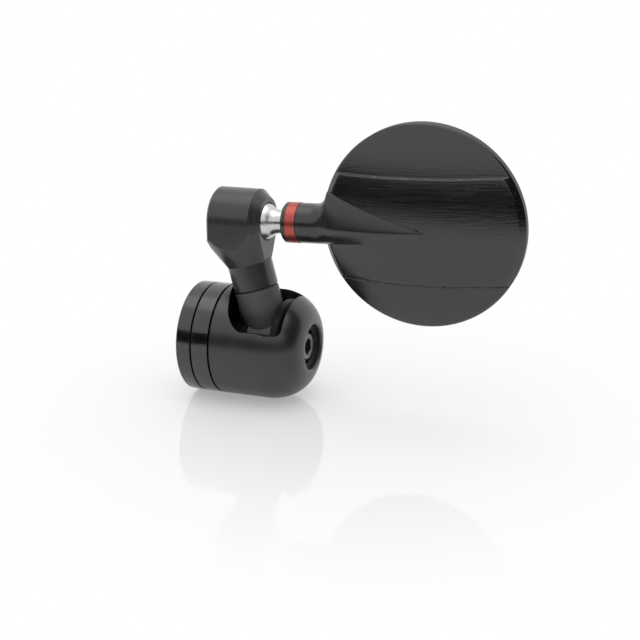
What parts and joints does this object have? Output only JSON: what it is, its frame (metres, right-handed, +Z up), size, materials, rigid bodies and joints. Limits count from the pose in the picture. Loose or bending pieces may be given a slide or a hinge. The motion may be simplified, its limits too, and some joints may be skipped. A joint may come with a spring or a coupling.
{
  "type": "motorcycle bar end mirror",
  "caption": "Bar end mirror: turned rings and a slotted domed body carry a leaning arm, a ball joint and a round mirror on a slim neck.",
  "frame": {"origin": "centre of the flat face that meets the end of the handlebar, on the axis of the mounting hole", "axes": "+X outward along the handlebar, +Y the way the glass faces, +Z up"},
  "size_m": [0.1203, 0.04, 0.1022],
  "materials": {
    "turned_black": "turned, black anodised",
    "body_black": "satin black anodised",
    "arm_black": "fine satin black anodised",
    "mirror_black": "milled, black anodised",
    "clamp_dark": "dark turned",
    "screw_steel": "blackened steel",
    "spring_steel": "spring steel",
    "stud_steel": "polished stainless",
    "red_anodised": "red anodised",
    "bearing_plastic": "natural bearing plastic",
    "black_plastic": "black plastic",
    "foam_pad": "adhesive foam",
    "mirror_glass": "silvered glass"
  },
  "bodies": {
    "bar_mount": {"bar_spacer": "turned_black", "pivot_base": "turned_black", "main_screw": "screw_steel", "screw_washer": "screw_steel"},
    "swivel_body": {"body_shell": "body_black", "outer_clamp_disc": "clamp_dark", "inner_clamp_disc": "clamp_dark", "pivot_bush": "bearing_plastic", "arm_base": "arm_black", "stem_washer": "black_plastic", "stem_grub_screw": "screw_steel"},
    "head": {"arm_head": "arm_black", "seat_spring": "spring_steel", "tension_plug": "turned_black"},
    "seats": {"ball_seat_rear": "bearing_plastic", "ball_seat_front": "bearing_plastic"},
    "stud": {"ball_stud": "stud_steel"},
    "mirror": {"neck_nose": "arm_black", "red_ring": "red_anodised", "mirror_housing": "mirror_black", "neck_grub_screw": "screw_steel", "mirror_pad": "foam_pad", "mirror_glass": "mirror_glass"}
  },
  "joints": [
    {"name": "body_turn", "type": "hinge", "parent": "bar_mount", "child": "swivel_body", "pos_m": [0.0283, 0, 0], "axis": [1, 0, 0], "continuous": true},
    {"name": "head_swivel", "type": "hinge", "parent": "swivel_body", "child": "head", "pos_m": [0.0283, 0, 0], "axis": [-0.2571, 0, 0.9664], "range_deg": [-60, 60]},
    {"name": "seat_spin", "type": "hinge", "parent": "head", "child": "seats", "pos_m": [0.0252, 0, 0.0445], "axis": [1, 0, 0], "range_deg": [-90, 90]},
    {"name": "ball_tilt", "type": "hinge", "parent": "seats", "child": "stud", "pos_m": [0.0252, 0, 0.0445], "axis": [0, 0, 1], "range_deg": [-20, 20]},
    {"name": "mirror_spin", "type": "hinge", "parent": "stud", "child": "mirror", "pos_m": [0.0252, 0, 0.0445], "axis": [0.9996, 0, 0.0279], "continuous": true}
  ]
}
